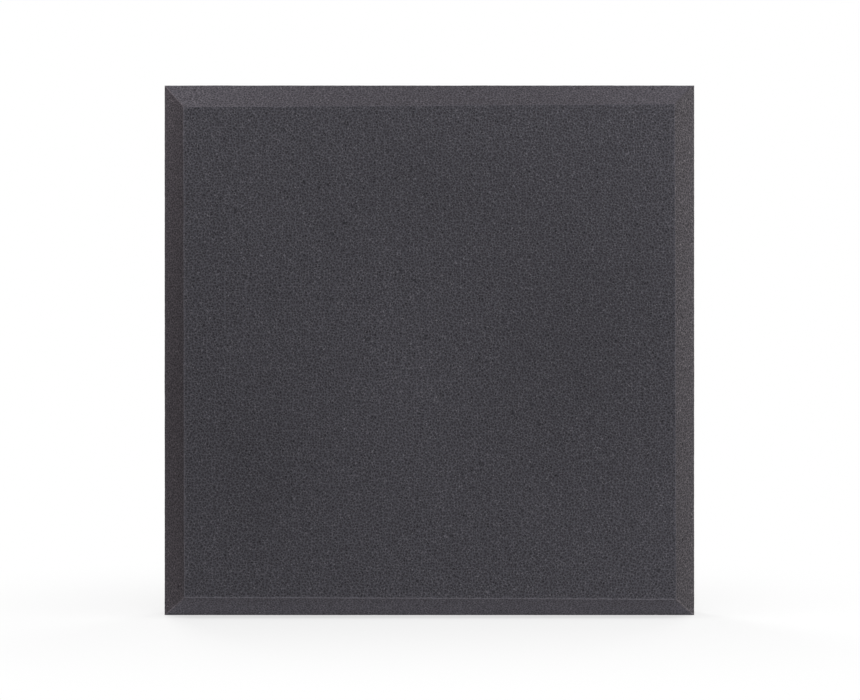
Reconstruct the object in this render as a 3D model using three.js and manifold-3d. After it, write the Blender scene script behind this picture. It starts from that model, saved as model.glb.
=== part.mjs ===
// Bevelled acoustic foam tile with self-adhesive mounting pads. Millimetres, +Z up.
// The tile stands as it hangs on a wall: the front looks along -Y, the width runs along X and
// the height along Z. The origin is the middle of the wall side, where the middle pad's liner
// lies. Left and right are as seen from the front.
import * as THREE from "three";
import { mergeVertices } from "three/addons/utils/BufferGeometryUtils.js";
import Module from "manifold-3d";

// Foam tile
const tileSide = 609.6; // square outline, 24 in
const tileThickness = 50.8; // back face to front face, 2 in
const bevelWidth = 25.4; // how far in from its edge a bevel reaches on the front face
const bevelDepth = 25.4; // how far back from the front face a bevel reaches on the side

// Mounting pads: die-cut squares of double-sided foam tape
const padSide = 50.8;
const padThickness = 1.6;
const padCornerRadius = 6.4;
const padEdgeInset = 38.1; // from the tile's edge to the nearest edge of a corner pad

// Release liners: siliconised paper, cut to the pad with a pull tongue below it
const linerThickness = 0.2;
const tongueWidth = 19;
const tongueLength = 9.5; // how far the tongue stands past the pad
const tongueCornerRadius = 5;

const cutOverrun = 2; // how far a cut runs past the block
const arcSegments = 4; // a rounded corner gets twice as many facets

const wasm = await Module();
wasm.setup();

const foam = new THREE.MeshStandardMaterial({ color: 0x414045, roughness: 0.95, metalness: 0 });
const tape = new THREE.MeshStandardMaterial({ color: 0x1d1d1f, roughness: 0.8, metalness: 0 });
const paper = new THREE.MeshStandardMaterial({ color: 0xe8e3d3, roughness: 0.45, metalness: 0 });

// The geometry as a manifold-3d solid, with its shared vertices merged.
function solidFrom(geometry) {
  const bare = geometry.clone();
  bare.deleteAttribute("normal");
  bare.deleteAttribute("uv");
  const merged = mergeVertices(bare);
  return new wasm.Manifold(
    new wasm.Mesh({
      numProp: 3,
      vertProperties: merged.attributes.position.array,
      triVerts: new Uint32Array(merged.index.array),
    }),
  );
}

// A manifold-3d solid as a flat-shaded three.js geometry.
function geometryFrom(solid) {
  const mesh = solid.getMesh();
  const geometry = new THREE.BufferGeometry();
  geometry.setAttribute("position", new THREE.BufferAttribute(mesh.vertProperties, 3));
  geometry.setIndex(new THREE.BufferAttribute(mesh.triVerts, 1));
  const flat = geometry.toNonIndexed();
  flat.computeVertexNormals();
  return flat;
}

// The wedge that one straight cut takes off the top front edge. Its outline's x runs in from the
// tile's edge and its y forwards from where the bevel leaves the side.
function bevelWedge() {
  const slope = bevelDepth / bevelWidth;
  const beyond = cutOverrun * slope;
  const outline = new THREE.Shape();
  outline.moveTo(-cutOverrun, -beyond);
  outline.lineTo(bevelWidth + cutOverrun, bevelDepth + beyond);
  outline.lineTo(-cutOverrun, bevelDepth + beyond);
  const cutLength = tileSide + 2 * cutOverrun;
  const wedge = new THREE.ExtrudeGeometry(outline, { depth: cutLength, bevelEnabled: false });
  const inwards = new THREE.Vector3(0, 0, -1);
  const forwards = new THREE.Vector3(0, -1, 0);
  const alongEdge = new THREE.Vector3(-1, 0, 0);
  const place = new THREE.Matrix4().makeBasis(inwards, forwards, alongEdge);
  place.setPosition(cutLength / 2, bevelDepth - tileThickness, tileSide / 2);
  return wedge.applyMatrix4(place);
}

// The tile: a square block, its back face at y = 0, with the same wedge cut off all four front
// edges. The cuts meet at the corners, which makes the mitres.
function foamTile() {
  const block = new THREE.BoxGeometry(tileSide, tileThickness, tileSide);
  block.translate(0, -tileThickness / 2, 0);
  const edges = 4;
  let tile = solidFrom(block);
  for (let edge = 0; edge < edges; edge++) {
    const wedge = bevelWedge().rotateY((edge * 2 * Math.PI) / edges);
    tile = tile.subtract(solidFrom(wedge));
  }
  return geometryFrom(tile);
}

// A rounded square on the pad's outline. With a tongue, it also has the pull tongue, centred on
// the lower edge, with rounded ends.
function padOutline(withTongue) {
  const half = padSide / 2;
  const straight = half - padCornerRadius;
  const quarter = Math.PI / 2;
  const outline = new THREE.Shape();
  outline.absarc(straight, straight, padCornerRadius, 0, quarter);
  outline.absarc(-straight, straight, padCornerRadius, quarter, 2 * quarter);
  outline.absarc(-straight, -straight, padCornerRadius, 2 * quarter, 3 * quarter);
  if (withTongue) {
    const side = tongueWidth / 2 - tongueCornerRadius;
    const low = tongueCornerRadius - half - tongueLength;
    outline.lineTo(-tongueWidth / 2, -half);
    outline.absarc(-side, low, tongueCornerRadius, 2 * quarter, 3 * quarter);
    outline.absarc(side, low, tongueCornerRadius, 3 * quarter, 4 * quarter);
    outline.lineTo(tongueWidth / 2, -half);
  }
  outline.absarc(straight, -straight, padCornerRadius, 3 * quarter, 4 * quarter);
  return outline;
}

// A flat plate of the outline, upright against the wall, from y = 0 forwards.
function upright(outline, thickness) {
  const options = { depth: thickness, bevelEnabled: false, curveSegments: arcSegments };
  return new THREE.ExtrudeGeometry(outline, options).rotateX(Math.PI / 2);
}

function named(name, geometry, material) {
  const mesh = new THREE.Mesh(geometry, material);
  mesh.name = name;
  return mesh;
}

// One mounting point: the liner on the wall plane and the pad in front of it.
function mountingPoint(place) {
  const point = new THREE.Group();
  const liner = named("liner_" + place, upright(padOutline(true), linerThickness), paper);
  const pad = named("pad_" + place, upright(padOutline(false), padThickness), tape);
  pad.position.y = -linerThickness;
  point.add(liner, pad);
  return point;
}

const panel = new THREE.Group();

const tile = named("foam_panel", foamTile(), foam);
tile.position.y = -linerThickness - padThickness;
panel.add(tile);

// Which way each pad lies from the middle, across and up.
const padPlaces = {
  middle: [0, 0],
  top_left: [-1, 1],
  top_right: [1, 1],
  bottom_left: [-1, -1],
  bottom_right: [1, -1],
};
const padReach = tileSide / 2 - padEdgeInset - padSide / 2;
for (const [place, [across, up]] of Object.entries(padPlaces)) {
  const point = mountingPoint(place);
  point.position.set(across * padReach, 0, up * padReach);
  panel.add(point);
}

export default panel;
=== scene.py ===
import math

import bpy
import mathutils
import numpy as np
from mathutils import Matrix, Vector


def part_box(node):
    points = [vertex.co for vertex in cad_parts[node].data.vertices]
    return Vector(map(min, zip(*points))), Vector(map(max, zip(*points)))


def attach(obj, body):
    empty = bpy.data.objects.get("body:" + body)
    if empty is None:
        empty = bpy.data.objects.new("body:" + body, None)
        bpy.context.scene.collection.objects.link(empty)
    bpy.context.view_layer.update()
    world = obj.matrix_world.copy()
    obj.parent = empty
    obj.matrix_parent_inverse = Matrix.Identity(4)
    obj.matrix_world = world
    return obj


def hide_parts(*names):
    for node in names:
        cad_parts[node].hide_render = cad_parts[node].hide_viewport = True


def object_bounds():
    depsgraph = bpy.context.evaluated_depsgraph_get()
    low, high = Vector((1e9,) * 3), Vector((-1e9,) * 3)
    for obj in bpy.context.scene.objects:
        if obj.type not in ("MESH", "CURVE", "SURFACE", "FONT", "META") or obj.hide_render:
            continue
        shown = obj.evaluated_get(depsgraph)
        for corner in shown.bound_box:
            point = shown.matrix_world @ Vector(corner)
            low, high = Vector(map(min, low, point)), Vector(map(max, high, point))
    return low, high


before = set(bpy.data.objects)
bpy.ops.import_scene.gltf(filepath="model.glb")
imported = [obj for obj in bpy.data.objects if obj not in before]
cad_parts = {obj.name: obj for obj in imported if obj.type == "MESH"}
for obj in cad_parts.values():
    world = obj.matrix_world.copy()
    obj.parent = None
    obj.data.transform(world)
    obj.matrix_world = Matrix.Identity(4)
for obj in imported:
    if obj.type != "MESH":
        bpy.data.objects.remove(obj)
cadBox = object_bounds()
print("frame loaded, body root with", len(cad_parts), "nodes")

rng = np.random.default_rng(seed=24)
halfTurn = math.pi
cadDecimals = 6                  # CAD corners that agree to so many decimals of a metre are level


def newMaterial(name):
    material = bpy.data.materials.new(name)
    material.use_nodes = True
    return material


def setInputs(tree, node, inputs):
    # each input is set to a value, or joined to the socket that is given for it
    for name, value in inputs.items():
        if isinstance(value, bpy.types.NodeSocket):
            tree.links.new(value, node.inputs[name])
        else:
            node.inputs[name].default_value = value


def addNode(tree, kind, inputs=None, **settings):
    # the settings come first, because they decide which sockets the node has
    node = tree.nodes.new("ShaderNode" + kind)
    for name, value in settings.items():
        setattr(node, name, value)
    setInputs(tree, node, inputs or {})
    return node


def calculate(tree, operation, *values, **settings):
    node = addNode(tree, "Math", dict(enumerate(values)), operation=operation, **settings)
    return node.outputs["Value"]


def calculateEach(tree, operation, *values):
    # the same for the three parts of a place or a colour
    node = addNode(tree, "VectorMath", dict(enumerate(values)), operation=operation)
    return node.outputs["Vector"]


def ramp(tree, value, start=0.0, end=1.0, low=0.0, high=1.0, **settings):
    # goes from low to high while the value goes from start to end, and stays level past them
    node = addNode(tree, "MapRange", {
        "Value": value, "From Min": start, "From Max": end, "To Min": low, "To Max": high,
    }, **settings)
    return node.outputs["Result"]


def mixed(tree, share, first, second, kind="FLOAT"):
    # all of the first at a share of 0, all of the second at 1
    node = addNode(tree, "Mix", {"Factor": share, "A": first, "B": second}, data_type=kind)
    return node.outputs["Result"]


def bumped(tree, height, look):
    # the normal of a surface with that relief
    node = addNode(tree, "Bump", {
        "Height": height, "Distance": look["bumpDepth"], "Strength": look["bumpStrength"],
    })
    return node.outputs["Normal"]


def newMesh(name, points, triangles):
    mesh = bpy.data.meshes.new(name)
    mesh.vertices.add(len(points))
    mesh.vertices.foreach_set("co", points.astype(np.float32).ravel())
    mesh.loops.add(triangles.size)
    mesh.loops.foreach_set("vertex_index", triangles.astype(np.int32).ravel())
    mesh.polygons.add(len(triangles))
    mesh.polygons.foreach_set("loop_start", np.arange(0, triangles.size, 3, dtype=np.int32))
    mesh.update(calc_edges=True)
    mesh.shade_smooth()
    return mesh


def newPiece(name, mesh, material):
    piece = bpy.data.objects.new(name, mesh)
    bpy.context.scene.collection.objects.link(piece)
    mesh.materials.append(material)
    return piece


def nodeCorners(name):
    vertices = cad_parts[name].data.vertices
    corners = np.zeros(3 * len(vertices), dtype=np.float32)
    vertices.foreach_get("co", corners)
    return corners.reshape(-1, 3).astype(float)


# the foam tile, cut from one block
foam = {
    "faceRows": 124,             # rows of the surface grid from the middle to the crease
    "bevelRows": 16,
    "sideRows": 12,              # all three together are a multiple of backGridShare
    "creaseStep": 0.0014,        # how close the rows stand on both sides of the crease, m
    "grain": 0.00011,            # fine relief of the cut cells, m
    "clump": 0.00007,            # relief of clumps of cells, m
    "clumpSize": 0.006,          # m
    "swell": 0.00015,            # slow unevenness of the slab, m
    "swellSize": 0.055,          # m
    "cutWander": 0.00010,        # how far the knife wanders along a crease, m
    "cutWanderSize": 0.018,      # m
    "edgeLip": 0.00020,          # frayed cells that stand up along a cut edge, m
    "lipLevel": 0.6,             # how much of it stands up on average
    "lipVary": 0.4,              # and how much that varies from point to point
    "rimShare": 0.25,            # how much of all this relief the outer rim shows
    "jitterShare": 0.22,         # sideways scatter of the grid points, as a share of their spacing
    "jitterLimit": 2,            # the widest scatter, in spreads
    "backGridShare": 4,          # the back's grid is this much coarser
    "backInset": 0.0022,         # first row of the back's grid, in from its edge, m
    "backCells": 1.0,            # how far off the back takes its own part of the pattern, m
    # how far the inner corners of the bevels lie from a perfect cut: to the right and up, m
    "cutDrift": {
        (-1, 1): (0.0005, -0.0031),
        (1, 1): (-0.0012, 0.0002),
        (1, -1): (0.0004, -0.0027),
        (-1, -1): (0.0014, -0.0003),
    },
    # how much each crease and each mitre is rubbed pale
    "rubbedCrease": {"left": 0.95, "right": 0.6, "top": 0.3, "bottom": 1.5},
    "rubbedMitre": {(-1, 1): 1.0, (1, 1): 0.1, (1, -1): 1.0, (-1, -1): 0.8},
    # painted light and shade: how much paler each bevel is at the rim than in its middle,
    # and darker at the crease
    "rimPaintedLight": {"left": 0.15, "right": 0.06, "top": 0.01, "bottom": 0.12},
    # painted light and shade: how much paler each bevel is at its left or lower end than halfway
    # along, and at its other end
    "endPaintedLight": {
        "left": (0.08, 0.07), "right": (-0.08, -0.07),
        "top": (0.19, 0.18), "bottom": (0.02, -0.06),
    },
    # how much stronger the grain of each bevel shows than the face's
    "contrast": {"left": 1.02, "right": 1.18, "top": 0.96, "bottom": 0.96},
    # the bevels and the sides are a touch warmer than the face: how much red, green and blue
    # there is, set against the face
    "tint": {
        "left": (1.03, 0.935, 0.905), "right": (1.04, 0.995, 0.91),
        "top": (1.03, 0.985, 0.985), "bottom": (1.01, 0.985, 1.0),
    },
    "meanTone": 0.047,           # the tone that a stronger contrast leaves as it is
    # broad soft patches of painted light and shade on the face: how far to the right and up from
    # its middle they lie, their half width and half height, m, and how much paler they are
    "facePaintedLightPatches": [
        (0.18, 0.02, 0.09, 0.13, -0.14),
        (-0.02, -0.04, 0.04, 0.06, 0.07),
        (-0.20, -0.14, 0.04, 0.06, -0.10),
        (-0.02, 0.18, 0.09, 0.04, -0.075),
    ],
    "faceTone": 1.017,           # the face's tone outside them
    # the OFBake map: the front's square, what the sides take of it, and the back's square with the
    # corner that it ends at
    "mapFront": 0.70,
    "mapSideShare": 0.45,
    "mapBack": 0.285,
    "mapCorner": 0.995,
}

foamLook = {
    "cellsPerMetre": 335,
    "cellRandomness": 0.92,
    "skinPerMetre": 1000,        # the torn cell walls, each with its own tone
    "skinRandomness": 0.8,
    "cloudsPerMetre": 22,
    "cloudDetail": 2.0,
    "poreReach": (0.08, 0.52),   # from the middle of a cell outwards, in cells
    "strutReach": 0.15,          # half width of the pale struts between cells, in cells
    "poreShare": 0.65,           # how much of the tone comes from the pores' depth, as painted shade
    "strutShare": 0.15,          # how much of the rest from the struts
    "cloudShare": 0.05,
    "dark": (0.0202, 0.0195, 0.0229, 1),
    "light": (0.0776, 0.0746, 0.0881, 1),
    # painted shade in the deepest pores
    "deep": (0, 0, 0, 1),
    "deepTo": 0.06,              # this share of the pores goes deep into the slab and is painted dark as shade
    "deepShare": 0.5,            # how much darker the painted shade makes them
    # painted highlights where struts and walls catch the light
    "glint": (0.30, 0.29, 0.32, 1),
    "glintReach": 0.12,          # half width of a painted highlight along a strut that catches the light, in cells
    "glintFrom": 0.5,            # every second wall lets its strut do so
    "glintShare": 0.43,
    "wallGlintFrom": 0.97,           # one wall in thirty is painted pale as a highlight where it catches the light as a whole
    "wallGlintShare": 0.4,
    "rubbed": (0.125, 0.120, 0.138, 1),
    "rubbedLeast": 0.25,         # how much of a rubbed line shows on the darkest tone
    "creaseReach": 0.0011,       # half width of the rubbed line along a crease, m
    "mitreReach": 0.0009,        # along a mitre, m
    "rimReach": 0.0011,          # along the rim and the back edge, m
    "rimShare": 0.15,            # how much of it shows there
    "bumpDepth": 0.0004,         # m
    "bumpStrength": 0.5,
    "roughness": 0.95,
    "specular": 0.2,
}


def foamCorners():
    # the corners of the foam's CAD node, and the depths of its face, its bevels' foot and its back
    corners = nodeCorners("foam_panel")
    return corners, np.unique(corners[:, 1].round(cadDecimals))


def randomField(shape, size, step):
    # white noise blurred by a Gaussian of about the given size, brought back to a spread of 1
    across = np.fft.fftfreq(shape[0], step)[:, None]
    along = np.fft.rfftfreq(shape[1], step)[None, :]
    keep = np.exp(-(across**2 + along**2) * (halfTurn * size / 2) ** 2 / 2)
    field = np.fft.irfft2(np.fft.rfft2(rng.standard_normal(shape)) * keep, shape)
    return field / field.std()


def cutProfile():
    # half side and depth at each row of the grid, and the way along the surface: out across the
    # face, down the bevel, back along the side. The sizes come from the CAD node's own corners
    corners, (front, bevelFoot, back) = foamCorners()
    halfSide = abs(corners[:, 0]).max()
    halfFace = abs(corners[corners[:, 1].round(cadDecimals) == front, 0]).max()
    bevelLength = math.hypot(halfSide - halfFace, bevelFoot - front)
    beforeCrease = np.linspace(0, halfFace - foam["creaseStep"], foam["faceRows"])
    onFace = np.append(beforeCrease, halfFace)
    onBevel = np.linspace(foam["creaseStep"], bevelLength, foam["bevelRows"])
    onSide = np.linspace(0, back - bevelFoot, foam["sideRows"] + 1)[1:]
    way = np.concatenate([onFace, halfFace + onBevel, halfFace + bevelLength + onSide])
    turns = [0, halfFace, halfFace + bevelLength, way[-1]]
    half = np.interp(way, turns, [0, halfFace, halfSide, halfSide])
    depth = np.interp(way, turns, [front, front, bevelFoot, back])
    return half, depth, way


def outward(across, up, row, faceRow, footRow, lastRow):
    # the way the surface faces: straight out on the face, halfway on the bevel, sideways on the
    # side, and halfway between its two neighbours along each cut edge
    face, bevel, side, back = 0.0, 0.25, 0.5, 1.0    # half turns away from straight out
    tilt = np.select(
        [row < faceRow, row == faceRow, row < footRow, row == footRow, row < lastRow],
        [face, (face + bevel) / 2, bevel, (bevel + side) / 2, side],
        (side + back) / 2,
    ) * halfTurn
    onSide = np.stack([
        np.where(abs(across) == row, np.sign(across), 0),
        np.where(abs(up) == row, np.sign(up), 0),
    ], axis=-1)
    onSide = onSide / np.maximum(np.linalg.norm(onSide, axis=-1, keepdims=True), 1)
    sideways = np.sin(tilt)[..., None] * onSide
    return np.stack([sideways[..., 0], -np.cos(tilt), sideways[..., 1]], axis=-1)


def frontSurface():
    # a square grid laid over the block like a napkin: the row of a point is the larger of its two
    # grid numbers, and the profile gives that row's half side and depth. Each point then moves
    # along the outward way by the sum of the grain, the clumps, the swell, the knife's wander and
    # the lip of a cut edge. Gives the points, their marks, and their places in the pattern of cells
    # and on the OFBake map
    half, depth, way = cutProfile()
    faceRow, lastRow = foam["faceRows"], len(half) - 1
    footRow = faceRow + foam["bevelRows"]
    ticks = np.arange(-lastRow, lastRow + 1)
    across, up = np.meshgrid(ticks, ticks, indexing="ij")
    row = np.maximum(abs(across), abs(up))
    scale = half[row] / np.maximum(row, 1)
    points = np.stack([across * scale, depth[row], up * scale], axis=-1)
    facing = outward(across, up, row, faceRow, footRow, lastRow)

    # the inner corners of the bevels drift a little, and the whole face follows them: each drift
    # counts in full at its own corner and not at all along the two sides across from it
    u, v = across / np.maximum(row, faceRow), up / np.maximum(row, faceRow)
    reach = np.clip((footRow - row) / (footRow - faceRow), 0, 1)
    for (right, top), (moveAcross, moveUp) in foam["cutDrift"].items():
        weight = (1 + right * u) * (1 + top * v) / 4 * reach
        points[..., 0] += moveAcross * weight
        points[..., 2] += moveUp * weight

    onMitre = (abs(across) == abs(up)) & (row > faceRow)
    onCut = (row == faceRow) | (row == footRow) | (row == lastRow) | onMitre
    shape, step = row.shape, way[-1] / lastRow
    grain = rng.standard_normal(shape) * foam["grain"]
    clump = randomField(shape, foam["clumpSize"], step) * foam["clump"]
    swell = randomField(shape, foam["swellSize"], step) * foam["swell"]
    wander = randomField(shape, foam["cutWanderSize"], step) * foam["cutWander"]
    frayed = foam["lipLevel"] + foam["lipVary"] * rng.standard_normal(shape)
    lip = np.where(onCut, foam["edgeLip"] * frayed, 0)
    atRim = np.where(row >= footRow, foam["rimShare"], 1.0)
    points += ((grain + clump + swell + wander + lip) * atRim)[..., None] * facing

    # points that aren't on a cut edge also scatter along the surface, by a share of the way to
    # the nearer row
    before = np.diff(way, prepend=way[0] - way[1])
    after = np.diff(way, append=2 * way[-1] - way[-2])
    gap = np.minimum(before, after)
    limit = foam["jitterLimit"]
    scatter = np.clip(rng.standard_normal(shape + (3,)), -limit, limit)
    scatter *= (foam["jitterShare"] * gap[row])[..., None]
    scatter -= (scatter * facing).sum(-1, keepdims=True) * facing
    points += np.where(onCut[..., None], 0, scatter)

    # what the material needs to know, from the side that a point belongs to and its place on it
    sector = np.select([across == row, across == -row, up == row], [0, 1, 2], 3)
    rubbedCrease, rimPaintedLight, endPaintedLight, contrast, tint = (
        np.array([foam[mark][name] for name in ("right", "left", "top", "bottom")])[sector]
        for mark in ("rubbedCrease", "rimPaintedLight", "endPaintedLight", "contrast", "tint")
    )
    rubbedMitre = sum(
        share * (np.sign(across) == right) * (np.sign(up) == top)
        for (right, top), share in foam["rubbedMitre"].items()
    )
    along = np.where(sector < 2, up, across) / np.maximum(row, 1)
    # painted light and shade: each bevel paler at the rim and darker at the crease
    pale = 1 + rimPaintedLight * (2 * (row - faceRow) / (footRow - faceRow) - 1)
    # painted light and shade: each bevel paler or darker towards its ends
    pale *= 1 + np.where(along < 0, *np.moveaxis(endPaintedLight, -1, 0)) * along**2
    onBevel = (row > faceRow) & (row <= footRow)
    contrast, pale = (np.where(onBevel, mark, 1)[..., None] for mark in (contrast, pale))
    # each patch of painted light and shade on the face fades out as a Gaussian
    faceTone = foam["faceTone"] + sum(
        paler * np.exp(-((points[..., 0] - right) / wide) ** 2 / 2
                       - ((points[..., 2] - high) / tall) ** 2 / 2)
        for right, high, wide, tall, paler in foam["facePaintedLightPatches"]
    )
    # the face's painted light and shade goes into the tint
    tint = np.where(row[..., None] > faceRow, tint, faceTone[..., None])
    # the bevels' painted light and shade goes into the tint
    tint = tint * pale * foam["meanTone"] ** (1 - contrast)
    rubbed = np.stack([rubbedCrease, rubbedMitre, contrast[..., 0]], -1)
    cuts = [
        row == faceRow, row == footRow, row == lastRow,
        onMitre & (across == up), onMitre & (across == -up),
    ]
    cutLine = sum(2**number * cut for number, cut in enumerate(cuts))

    # cells lie on the way along the surface. On the map, the rows of the sides take less room
    outThere = np.stack([across, up], -1) / np.maximum(row, 1)[..., None]
    onMap = np.cumsum(np.where(np.arange(lastRow + 1) > footRow, foam["mapSideShare"], 1.0))
    onMap = (onMap - onMap[0]) / (onMap[-1] - onMap[0])
    marks = {"rubbed": rubbed, "tint": tint, "cutLine": cutLine}
    return points, marks, outThere * way[row][..., None], outThere * onMap[row][..., None]


def gridCorners(index):
    # the four corners of each square of a grid, one after the other round the square
    return index[:-1, :-1], index[1:, :-1], index[1:, 1:], index[:-1, 1:]


def foamSurface():
    # the front and sides as one grid, the flat back as a coarser one, and a strip between them
    front, marks, cellPlace, mapPlace = frontSurface()
    side = front.shape[0]
    last, share = side // 2, foam["backGridShare"]
    index = np.arange(side * side).reshape(side, side)
    a, b, c, d = gridCorners(index)
    middle = np.arange(-last, last) + 0.5
    rising = middle[:, None] * middle[None, :] > 0    # the diagonals run the way the mitres do
    first = np.where(rising[..., None], np.stack([a, b, c], -1), np.stack([a, b, d], -1))
    second = np.where(rising[..., None], np.stack([a, c, d], -1), np.stack([b, c, d], -1))
    frontFaces = np.concatenate([first.reshape(-1, 3), second.reshape(-1, 3)])

    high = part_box("foam_panel")[1]
    backHalf = high[0] - foam["backInset"]
    ticks = np.linspace(-backHalf, backHalf, 2 * (last // share) + 1)
    x, z = np.meshgrid(ticks, ticks, indexing="ij")
    recess = abs(rng.standard_normal(x.shape)) * foam["grain"]    # a hair behind the pads' plane
    back = np.stack([x, high[1] - recess, z], axis=-1)
    backIndex = np.arange(x.size).reshape(x.shape) + index.size
    a, b, c, d = gridCorners(backIndex)
    backFaces = [np.stack([a, c, b], -1).reshape(-1, 3), np.stack([a, d, c], -1).reshape(-1, 3)]

    def rim(grid):
        # once round the edge of a grid
        return np.concatenate([grid[:-1, 0], grid[-1, :-1], grid[:0:-1, -1], grid[0, :0:-1]])

    # each step of the coarse rim meets as many steps of the fine one as the grids differ by
    fine, here = rim(index), rim(backIndex)
    there = np.roll(here, -1)
    steps = [np.roll(fine, -shift)[::share] for shift in range(share + 1)]
    for shift in range(share):
        apex = here if shift < share // 2 else there
        backFaces.append(np.stack([steps[shift + 1], steps[shift], apex], -1))
    backFaces.append(np.stack([steps[share // 2], here, there], -1))
    backFaces = np.concatenate(backFaces)

    points = np.concatenate([front.reshape(-1, 3), back.reshape(-1, 3)])
    faces = np.concatenate([frontFaces, backFaces])
    behind = points[:, [0, 2]][backFaces]
    frontMap = (mapPlace.reshape(-1, 2)[frontFaces] + 1) / 2 * foam["mapFront"]
    backMap = foam["mapCorner"] - (behind / (2 * high[0]) + 0.5) * foam["mapBack"]
    plain = {"rubbed": (0, 0, 1), "tint": (1, 1, 1), "cutLine": (0,)}    # the back has no marks
    marks = {
        name: np.concatenate([marks[name].reshape(index.size, -1), np.tile(level, (x.size, 1))])
        for name, level in plain.items()
    }
    cells = [cellPlace.reshape(-1, 2)[frontFaces], behind + foam["backCells"]]
    return points, faces, marks, {
        "foamPlace": np.concatenate(cells),
        "OFBake": np.concatenate([frontMap, backMap]),
    }


def foamMaterial():
    # the tone of a point mixes the tone of its torn cell wall, the painted shade of its pore's
    # depth and the nearness of a strut, all on the way along the surface, so that no cell is
    # stretched
    material = newMaterial("openCellFoam")
    tree, look = material.node_tree, foamLook
    place = addNode(tree, "UVMap", uv_map="foamPlace").outputs["UV"]
    skin = addNode(tree, "TexVoronoi", {
        "Vector": place, "Scale": look["skinPerMetre"], "Randomness": look["skinRandomness"],
    }, voronoi_dimensions="2D")
    cells = {"Vector": place, "Scale": look["cellsPerMetre"], "Randomness": look["cellRandomness"]}
    pores = addNode(tree, "TexVoronoi", cells, voronoi_dimensions="2D")
    edges = addNode(
        tree, "TexVoronoi", cells, voronoi_dimensions="2D", feature="DISTANCE_TO_EDGE",
    ).outputs["Distance"]
    clouds = addNode(tree, "TexNoise", {
        "Vector": place, "Scale": look["cloudsPerMetre"], "Detail": look["cloudDetail"],
    }).outputs["Fac"]
    wall = addNode(tree, "SeparateColor", {"Color": skin.outputs["Color"]}).outputs
    # painted shade: each pore darker towards its middle
    pore = ramp(tree, pores.outputs["Distance"], *look["poreReach"])
    strut = ramp(tree, edges, 0.0, look["strutReach"], 1.0, 0.0)
    tone = mixed(tree, look["poreShare"], wall["Red"], pore)
    tone = mixed(tree, look["strutShare"], tone, strut)
    tone = mixed(tree, look["cloudShare"], tone, clouds)
    colour = mixed(tree, tone, look["dark"], look["light"], "RGBA")

    # painted shade: the pores that go deep into the slab are painted towards black
    chosen = addNode(tree, "SeparateColor", {"Color": pores.outputs["Color"]}).outputs["Red"]
    deep = calculate(tree, "LESS_THAN", chosen, look["deepTo"])
    deep = calculate(tree, "MULTIPLY", deep, look["deepShare"])
    deep = calculate(tree, "MULTIPLY", deep, calculate(tree, "SUBTRACT", 1.0, pore))
    colour = mixed(tree, deep, colour, look["deep"], "RGBA")

    # painted highlights: struts and whole walls that catch the light are painted pale
    glint = ramp(tree, edges, 0.0, look["glintReach"], look["glintShare"], 0.0)
    glint = calculate(tree, "MULTIPLY", glint, ramp(tree, wall["Blue"], look["glintFrom"]))
    wallGlint = ramp(tree, wall["Green"], look["wallGlintFrom"], 1.0, 0.0, look["wallGlintShare"])
    bright = calculate(tree, "MAXIMUM", glint, wallGlint)
    colour = mixed(tree, bright, colour, look["glint"], "RGBA")

    # a rubbed line runs where the larger of the two ways out from the middle reaches a crease or
    # the rim, and where the two are equal on a bevel or a side
    way = cutProfile()[2]
    crease, rim = (float(way[row]) for row in np.cumsum([foam["faceRows"], foam["bevelRows"]]))
    backEdge = float(way[-1])
    out = addNode(tree, "SeparateXYZ", {"Vector": place})
    out = [calculate(tree, "ABSOLUTE", out.outputs[axis]) for axis in ("X", "Y")]
    far, near = calculate(tree, "MAXIMUM", *out), calculate(tree, "MINIMUM", *out)

    def line(distance, reach):
        return ramp(tree, distance, 0.0, reach, 1.0, 0.0)

    def lineAt(turn, reach):
        return line(calculate(tree, "ABSOLUTE", calculate(tree, "SUBTRACT", far, turn)), reach)

    rubbed = addNode(tree, "Attribute", attribute_name="rubbed").outputs["Vector"]
    rubbed = addNode(tree, "SeparateXYZ", {"Vector": rubbed}).outputs
    worn = [lineAt(turn, look["rimReach"]) for turn in (rim, backEdge)]
    worn = calculate(tree, "MULTIPLY", calculate(tree, "MAXIMUM", *worn), look["rimShare"])
    worn = calculate(tree, "MAXIMUM", worn, lineAt(crease, look["creaseReach"]))
    worn = calculate(tree, "MULTIPLY", worn, rubbed["X"])
    atMitre = line(calculate(tree, "SUBTRACT", far, near), look["mitreReach"] * math.sqrt(2))
    atMitre = calculate(tree, "MULTIPLY", atMitre, calculate(tree, "GREATER_THAN", far, crease))
    atMitre = calculate(tree, "MULTIPLY", atMitre, calculate(tree, "LESS_THAN", far, backEdge))
    worn = calculate(tree, "MAXIMUM", worn, calculate(tree, "MULTIPLY", atMitre, rubbed["Y"]))
    shows = calculate(tree, "ADD", tone, look["rubbedLeast"])
    colour = mixed(tree, calculate(tree, "MULTIPLY", worn, shows), colour, look["rubbed"], "RGBA")

    # the contrast is a power, and the tint holds what brings the mean tone back, together with
    # the painted light and shade of the bevels and of the face's patches
    colour = calculateEach(tree, "POWER", colour, rubbed["Z"])
    tint = addNode(tree, "Attribute", attribute_name="tint").outputs["Vector"]
    colour = calculateEach(tree, "MULTIPLY", colour, tint)
    setInputs(tree, tree.nodes["Principled BSDF"], {
        "Base Color": colour, "Normal": bumped(tree, pore, look),
        "Roughness": look["roughness"], "Specular IOR Level": look["specular"],
    })
    return material


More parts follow.
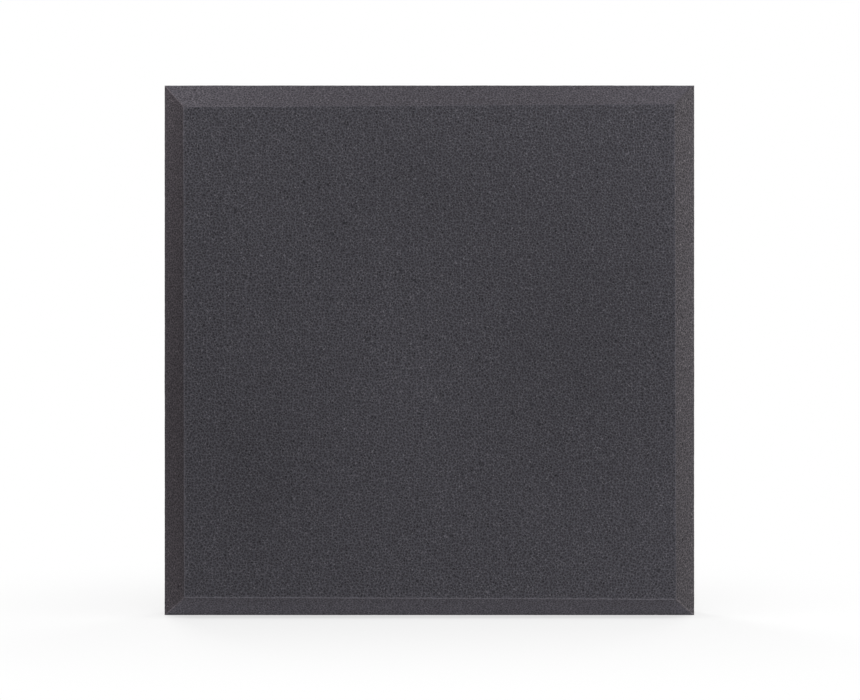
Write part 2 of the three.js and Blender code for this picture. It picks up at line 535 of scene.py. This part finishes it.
def makeFoam():
    # the surface as one mesh, sharp along each cut edge, with its marks and its two maps
    points, triangles, marks, maps = foamSurface()
    mesh = newMesh("foam_tile", points, triangles)
    ends = np.zeros(2 * len(mesh.edges), dtype=np.int32)
    mesh.edges.foreach_get("vertices", ends)
    onOneCut = np.bitwise_and(*marks["cutLine"].astype(int).ravel()[ends.reshape(-1, 2)].T) > 0
    mesh.attributes.new("sharp_edge", "BOOLEAN", "EDGE").data.foreach_set("value", onOneCut)
    for name in ("rubbed", "tint"):
        mark = mesh.attributes.new(name, "FLOAT_VECTOR", "POINT")
        mark.data.foreach_set("vector", marks[name].astype(np.float32).ravel())
    for name, places in maps.items():
        layer = mesh.uv_layers.new(name=name)
        layer.data.foreach_set("uv", places.astype(np.float32).ravel())
    piece = newPiece("foam_tile", mesh, foamMaterial())
    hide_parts("foam_panel")
    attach(piece, "root")
    print("foam tile:", len(points), "points,", len(triangles), "triangles")


# the mounting pads: die-cut squares of black foam tape, each under its paper liner
pads = {
    "pathStep": 0.0016,          # longest step along the outline, m
    "pinch": 0.00022,            # how far the cut side draws in halfway through the tape, m
    "edgeRound": 0.00015,        # how far its two edges are rounded, m
    "clearance": 0.00001,        # air left to what lies in front and behind, m
    "faceRings": 5,
    "edgeRings": 3,
    "sideRings": 9,
}

liners = {
    "pathStep": 0.0016,          # m
    "faceRings": 24,
    "clearance": 0.00001,        # m
    "curl": 0.0009,              # how far the end of a pull tongue lifts off the wall, m
    "curlVary": 0.3,             # how differently the five tongues lift, as a share of it
    "twist": 0.0002,             # how much more one side of a tongue lifts than the other, m
}

tapeLook = {
    "cellsPerMetre": 1500,
    "depthShare": 0.5,           # how much of the tone comes from the bubbles' depth, as painted shade
    "dark": (0.0085, 0.0085, 0.0092, 1),
    "light": (0.0185, 0.0185, 0.0195, 1),
    "roughness": (0.60, 0.85),   # on the dark and on the light tone
    "specular": 0.4,
    "bumpDepth": 0.00012,        # m
    "bumpStrength": 0.6,
}

paperLook = {
    "fibresPerMetre": (300, 300, 1300), # short and lying across the tongue
    "fibreDetail": 3.0,
    "cloudsPerMetre": 60,
    "cloudDetail": 2.0,
    "cloudShare": 0.5,
    "toneReach": (0.35, 0.65),   # the part of the noise that goes from one tone to the other
    "pale": (0.83, 0.795, 0.69, 1),
    "deep": (0.73, 0.69, 0.575, 1),
    "roughness": (0.36, 0.52),   # on the deep and on the pale tone
    "coat": 0.25,
    "coatRoughness": 0.3,
    "bumpDepth": 0.00003,        # m
    "bumpStrength": 0.6,
}


def nodeOutline(name, hub, step):
    # the outline of a flat CAD node, anticlockwise from the front: its corners in the order of
    # their angle round the hub, and each straight run cut into even steps. The outward way at
    # each point is square to the line between its two neighbours
    corners = nodeCorners(name).round(cadDecimals)
    corners = np.unique(corners[corners[:, 1] == corners[:, 1].max()][:, [0, 2]], axis=0)
    corners = corners[np.argsort(np.arctan2(*(corners - hub).T[::-1]))]
    ahead = np.roll(corners, -1, axis=0)
    counts = np.ceil(np.linalg.norm(ahead - corners, axis=1) / step).astype(int)
    run = np.repeat(np.arange(len(corners)), counts)
    share = (np.arange(counts.sum()) - np.repeat(np.cumsum(counts) - counts, counts)) / counts[run]
    path = corners[run] + (ahead - corners)[run] * share[:, None]
    along = np.roll(path, -1, axis=0) - np.roll(path, 1, axis=0)
    way = np.stack([along[:, 1], -along[:, 0]], -1)
    return path, way / np.linalg.norm(way, axis=1, keepdims=True)


def ringsFrom(path, way, hub, share, offset, depth):
    # the outline carried along a profile from one pole to the other: each ring is the outline
    # drawn in towards the hub to a share of its size, moved out by an offset, at its own depth
    flat = hub + (path - hub) * share[:, None, None] + way * offset[:, None, None]
    depth = np.broadcast_to(depth[:, None], flat.shape[:2])
    return np.stack([flat[..., 0], depth, flat[..., 1]], -1)


def ringFaces(rings, around):
    # two triangles between each pair of neighbours on neighbouring rings, and a fan at either end
    # from the pole: the first point is the first pole and the last point the other
    start = 1 + np.arange(rings - 1)[:, None] * around
    spot = np.arange(around)
    after = (spot + 1) % around
    a, b, c, d = start + spot, start + after, start + around + after, start + around + spot
    walls = [np.stack([a, c, b], -1).reshape(-1, 3), np.stack([a, d, c], -1).reshape(-1, 3)]
    lastPole, lastRing = 1 + rings * around, 1 + (rings - 1) * around
    opening = np.stack([np.zeros(around, int), 1 + spot, 1 + after], -1)
    closing = np.stack([np.full(around, lastPole), lastRing + after, lastRing + spot], -1)
    return np.concatenate(walls + [opening, closing])


def makeRinged(name, node, rings, poles, material):
    # a closed piece from its rings and its two poles, in place of its CAD node
    points = np.concatenate([poles[:1], rings.reshape(-1, 3), poles[1:]])
    triangles = ringFaces(*rings.shape[:2])
    piece = newPiece(name, newMesh(name, points, triangles), material)
    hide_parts(node)
    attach(piece, "root")
    return len(triangles)


def makePad(spot, material):
    # from the middle of the glued side out to its edge, round the edge, down the pinched side,
    # round the other edge and in again
    node = "pad_" + spot
    low, high = (np.array(corner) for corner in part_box(node))
    front, back = low[1] + pads["clearance"], high[1] - pads["clearance"]
    hub = ((low + high) / 2)[[0, 2]]
    bend, pinch = pads["edgeRound"], pads["pinch"]
    out = np.linspace(0, 1, pads["faceRings"] + 1)[1:]
    turn = np.linspace(0, halfTurn / 2, pads["edgeRings"] + 1)[1:]
    down = np.linspace(0, 1, pads["sideRings"])[1:-1]
    share = np.concatenate([out, np.ones(2 * len(turn) + len(down)), out[::-1]])
    flat, bulge = np.full(len(out), -bend), bend * (np.sin(turn) - 1)
    offset = np.concatenate([flat, bulge, -pinch * np.sin(down * halfTurn), bulge[::-1], flat])
    lift = bend * (1 - np.cos(turn))
    depth = np.concatenate([
        0 * out + front, front + lift,
        front + bend + (back - front - 2 * bend) * down,
        back - lift[::-1], 0 * out + back,
    ])
    path, way = nodeOutline(node, hub, pads["pathStep"])
    rings = ringsFrom(path, way, hub, share, offset, depth)
    poles = np.array([(hub[0], front, hub[1]), (hub[0], back, hub[1])])
    return makeRinged("tape_pad_" + spot, node, rings, poles, material)


def makeLiner(spot, material):
    # a thin sheet, out across the side on the tape and in again across the wall side. Past the pad
    # it lifts off the wall with the square of the way down the tongue
    node, pad = "liner_" + spot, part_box("pad_" + spot)
    low, high = (np.array(corner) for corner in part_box(node))
    hub = np.array([pad[0][0] + pad[1][0], pad[0][2] + pad[1][2]]) / 2
    air = liners["clearance"]
    out = np.linspace(0, 1, liners["faceRings"] + 1)[1:]
    share = np.append(out, out[::-1])
    depth = np.append(0 * out + low[1] + air, 0 * out + high[1] - air)
    path, way = nodeOutline(node, hub, liners["pathStep"])
    rings = ringsFrom(path, way, hub, share, 0 * share - air, depth)
    pastPad = np.clip((pad[0][2] - rings[..., 2]) / (pad[0][2] - low[2]), 0, 1)
    sideways = (rings[..., 0] - hub[0]) / (pad[1][0] - hub[0])
    curl = liners["curl"] * (1 + liners["curlVary"] * rng.uniform(-1, 1))
    rings[..., 1] -= pastPad**2 * (curl + liners["twist"] * rng.choice([-1, 1]) * sideways)
    poles = np.array([(hub[0], depth[0], hub[1]), (hub[0], depth[-1], hub[1])])
    return makeRinged("paper_liner_" + spot, node, rings, poles, material)


def tapeMaterial():
    # closed cells: small rounded bubbles, cut open along the sides, each painted darker towards its
    # middle as shade
    material = newMaterial("foamTape")
    tree, look = material.node_tree, tapeLook
    place = addNode(tree, "TexCoord").outputs["Object"]
    bubbles = addNode(tree, "TexVoronoi", {"Vector": place, "Scale": look["cellsPerMetre"]}).outputs
    tone = addNode(tree, "SeparateColor", {"Color": bubbles["Color"]}).outputs["Red"]
    tone = mixed(tree, look["depthShare"], tone, bubbles["Distance"])
    roughness = ramp(tree, tone, 0.0, 1.0, *look["roughness"])
    setInputs(tree, tree.nodes["Principled BSDF"], {
        "Base Color": mixed(tree, tone, look["dark"], look["light"], "RGBA"),
        "Normal": bumped(tree, bubbles["Distance"], look),
        "Roughness": roughness, "Specular IOR Level": look["specular"],
    })
    return material


def paperMaterial():
    # siliconised kraft paper: fine fibres under a thin slick coat
    material = newMaterial("linerPaper")
    tree, look = material.node_tree, paperLook
    place = addNode(tree, "TexCoord").outputs["Object"]
    along = addNode(tree, "Mapping", {"Vector": place, "Scale": look["fibresPerMetre"]})
    fibres = addNode(tree, "TexNoise", {
        "Vector": along.outputs["Vector"], "Scale": 1.0, "Detail": look["fibreDetail"],
    }).outputs["Fac"]
    clouds = addNode(tree, "TexNoise", {
        "Vector": place, "Scale": look["cloudsPerMetre"], "Detail": look["cloudDetail"],
    }).outputs["Fac"]
    tone = mixed(tree, look["cloudShare"], fibres, clouds)
    tone = ramp(tree, tone, *look["toneReach"])
    roughness = ramp(tree, tone, 0.0, 1.0, *look["roughness"])
    setInputs(tree, tree.nodes["Principled BSDF"], {
        "Base Color": mixed(tree, tone, look["deep"], look["pale"], "RGBA"),
        "Normal": bumped(tree, fibres, look), "Roughness": roughness,
        "Coat Weight": look["coat"], "Coat Roughness": look["coatRoughness"],
    })
    return material


def makeMountings():
    tape, paper = tapeMaterial(), paperMaterial()
    spots = [name[len("pad_"):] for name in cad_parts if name.startswith("pad_")]
    count = sum(makePad(spot, tape) + makeLiner(spot, paper) for spot in spots)
    print("pads and liners at", ", ".join(spots) + ":", count, "triangles")


# what the camera sees: the panel straight from the front, filling three quarters of the height
camera = {
    "pictureWidth": 860,         # pixels
    "panelWidth": 529.5,         # pixels across the outline in the picture
    "distance": 1.772,           # from the line where the bevels leave the sides, m
    "aboveMiddle": 0.040,        # height over the middle of the panel, m
    "sensor": 0.036,             # m
    "shift": (0.00065, 0.00034), # how far the picture is moved to centre the panel, in widths
    "clip": (0.05, 50),          # m
}


def makeCamera():
    # it looks level along y. The lens makes the panel as wide as in the picture, and the shift
    # brings the middle of the panel back to the middle of the picture
    low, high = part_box("foam_panel")
    bevelFoot = foamCorners()[1][1]
    seen = (high[0] - low[0]) * camera["pictureWidth"] / camera["panelWidth"]
    data = bpy.data.cameras.new("camera")
    data.sensor_width = camera["sensor"] * 1000
    data.lens = data.sensor_width * camera["distance"] / seen
    data.shift_x = camera["shift"][0]
    data.shift_y = camera["shift"][1] - camera["aboveMiddle"] / seen
    data.clip_start, data.clip_end = camera["clip"]
    eye = bpy.data.objects.new("camera", data)
    eye.location = (0, bevelFoot - camera["distance"], camera["aboveMiddle"])
    eye.rotation_euler = (halfTurn / 2, 0, 0)
    bpy.context.scene.collection.objects.link(eye)
    bpy.context.scene.camera = eye
    print("camera:", camera["distance"], "m before the rim")


# soft boxes round the panel: place, width and height, what they aim at, and their level there
lamps = {
    "topLeft": ((-0.55, -0.25, 0.70), (0.4, 0.4), (-0.15, 0, 0.15), 0.452),
    "topMiddle": ((0, -0.40, 1.00), (0.5, 0.5), (0, 0, 0.15), 0.222),
    "topRight": ((0.55, -0.25, 0.70), (0.4, 0.4), (0.15, 0, 0.15), 0.255),
    "right": ((1.10, -0.30, 0.60), (0.5, 0.6), (0.10, 0, 0.10), 0.246),
    "lowRight": ((1.40, -1.20, -0.10), (1.2, 0.36), (0, 0, -0.10), 0.290),
    "underFront": ((0, -0.19, -0.3045), (1.0, 0.32), (0, -0.19, 0.6955), 0.0180),
    "underEdge": ((0, -0.045, -0.3045), (0.62, 0.034), (0, -0.045, 0.6955), 0.0025),
    "backLeft": ((-1.0, 1.5, 0.9), (0.8, 0.8), (0, 0, 0), 0.40),
    "backRight": ((1.1, 1.5, 0.5), (0.8, 0.8), (0, 0, 0), 0.30),
}

studio = {
    "white": (1, 1, 1, 1),
    "level": 0.3,                # of the even light from all round
}


def seenRay(tree):
    # 1 for what the camera sees, also through gloss and glass
    rays = addNode(tree, "LightPath").outputs
    seen = calculate(tree, "ADD", rays["Is Camera Ray"], rays["Is Glossy Ray"])
    return calculate(tree, "ADD", seen, rays["Is Transmission Ray"], use_clamp=True)


def makeLight():
    # an even light from all round, which the camera sees as white, and the soft boxes
    world = bpy.data.worlds.new("studio")
    bpy.context.scene.world = world
    world.use_nodes = True
    tree = world.node_tree
    around = tree.nodes["Background"]
    setInputs(tree, around, {"Color": studio["white"], "Strength": studio["level"]})
    white = addNode(tree, "Background", {"Color": studio["white"]})
    shown = addNode(tree, "MixShader", {
        "Fac": seenRay(tree), 1: around.outputs["Background"], 2: white.outputs["Background"],
    })
    setInputs(tree, tree.nodes["World Output"], {"Surface": shown.outputs["Shader"]})

    for name, (place, size, aim, level) in lamps.items():
        way = mathutils.Vector(place) - mathutils.Vector(aim)
        data = bpy.data.lights.new(name, "AREA")
        data.shape = "RECTANGLE"
        data.size, data.size_y = size
        # the power at which white paint at the aim, facing the lamp, shows the level
        data.energy = level * halfTurn**2 * way.length_squared
        lamp = bpy.data.objects.new(name, data)
        lamp.location = place
        lamp.rotation_euler = way.to_track_quat("Z", "Y").to_euler()
        lamp.visible_camera = False
        bpy.context.scene.collection.objects.link(lamp)
    print("lamps:", ", ".join(lamps))


floorLook = {
    "reach": 8.0,                # half side, m
    "paint": (0.8, 0.8, 0.8, 1),
    "shadow": 0.35,              # how much of the shadow the camera sees next to the panel
    "shadowEnds": 0.40,          # where it has faded out, m from the panel
    "openLevel": 1.0,            # how bright white paint is out there under the lamps
}


def makeFloor():
    # a flat square that the panel stands on
    low, reach = cadBox[0], floorLook["reach"]
    turns = ((-1, -1), (1, -1), (1, 1), (-1, 1))
    corners = [(right * reach, away * reach, low[2]) for right, away in turns]
    mesh = bpy.data.meshes.new("floor")
    mesh.from_pydata(corners, [], [(0, 1, 2, 3)])
    material = newMaterial("paleFloor")
    tree = material.node_tree
    tree.nodes.remove(tree.nodes["Principled BSDF"])
    real = addNode(tree, "BsdfDiffuse", {"Color": floorLook["paint"]})

    # the camera sees white, with a share of the real shadow that fades away from the panel
    past = calculateEach(tree, "ABSOLUTE", addNode(tree, "TexCoord").outputs["Object"])
    past = calculateEach(tree, "SUBTRACT", past, (cadBox[1][0], 0, abs(low[2])))
    past = calculateEach(tree, "MAXIMUM", past, (0, 0, 0))
    far = addNode(tree, "VectorMath", {0: past}, operation="LENGTH").outputs["Value"]
    share = ramp(
        tree, far, 0.0, floorLook["shadowEnds"], floorLook["shadow"], 0.0,
        interpolation_type="SMOOTHSTEP",
    )
    glow = addNode(tree, "Emission", {"Strength": calculate(tree, "SUBTRACT", 1.0, share)})
    paint = calculate(tree, "DIVIDE", share, floorLook["openLevel"])
    paint = addNode(tree, "BsdfDiffuse", {"Color": paint})
    seen = addNode(tree, "AddShader", {0: glow.outputs["Emission"], 1: paint.outputs["BSDF"]})
    shown = addNode(tree, "MixShader", {
        "Fac": seenRay(tree), 1: real.outputs["BSDF"], 2: seen.outputs["Shader"],
    })
    setInputs(tree, tree.nodes["Material Output"], {"Surface": shown.outputs["Shader"]})
    newPiece("floor", mesh, material)
    print("floor:", 2 * reach, "m square, under the panel")


makeCamera()
makeFoam()
makeMountings()
makeFloor()
makeLight()
bpy.context.scene.view_settings.view_transform = "Standard"
